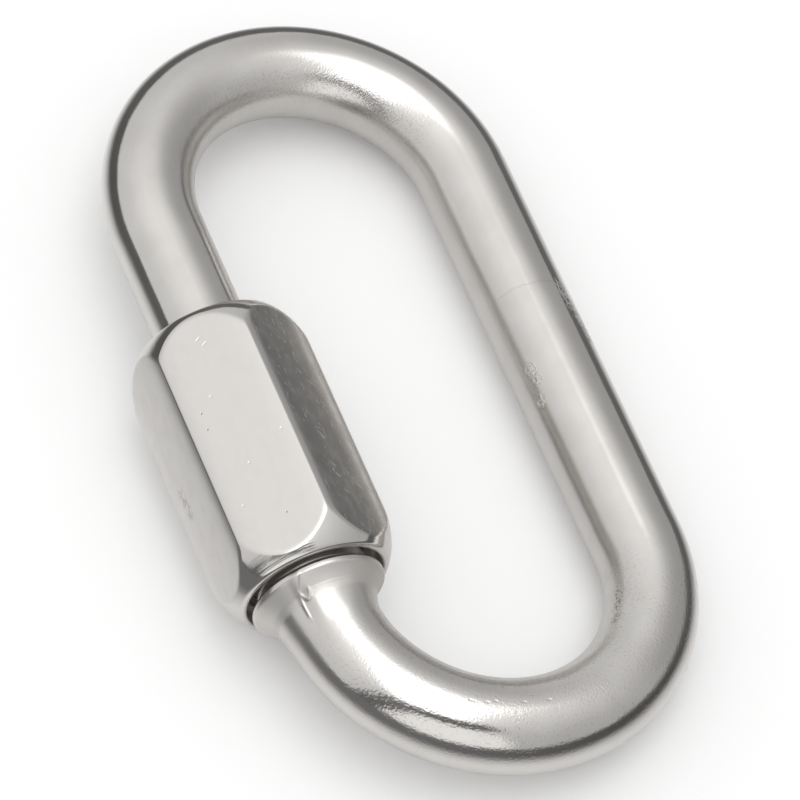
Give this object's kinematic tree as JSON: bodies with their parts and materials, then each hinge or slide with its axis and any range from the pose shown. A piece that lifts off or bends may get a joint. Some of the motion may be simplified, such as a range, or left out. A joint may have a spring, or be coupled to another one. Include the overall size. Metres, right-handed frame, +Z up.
{
  "type": "quick link",
  "caption": "Oval screw-lock quick link: a bent round steel rod with an open side, closed by a hexagonal sleeve nut that screws across the gap to join chain, rings and rope eyes.",
  "frame": {"origin": "middle of the part's box, on the surface that the link lies on", "axes": "+Y along the loop's long axis, the way the nut runs to open; +X towards the plain leg; +Z up from the surface"},
  "size_m": [0.0404, 0.0758, 0.0157],
  "materials": {
    "rod_steel": "polished stainless steel rod with faint drawing marks and small handling nicks",
    "nut_steel": "bright polished stainless steel with turned crowns, fine scratches and small pits"
  },
  "bodies": {
    "link": {"link_rod": "rod_steel"},
    "nut": {"sleeve_nut": "nut_steel"}
  },
  "joints": [
    {"name": "nut_travel", "type": "slide", "parent": "link", "child": "nut", "axis": [0, 1, 0], "range_m": [-0.0017, 0.0133]}
  ]
}
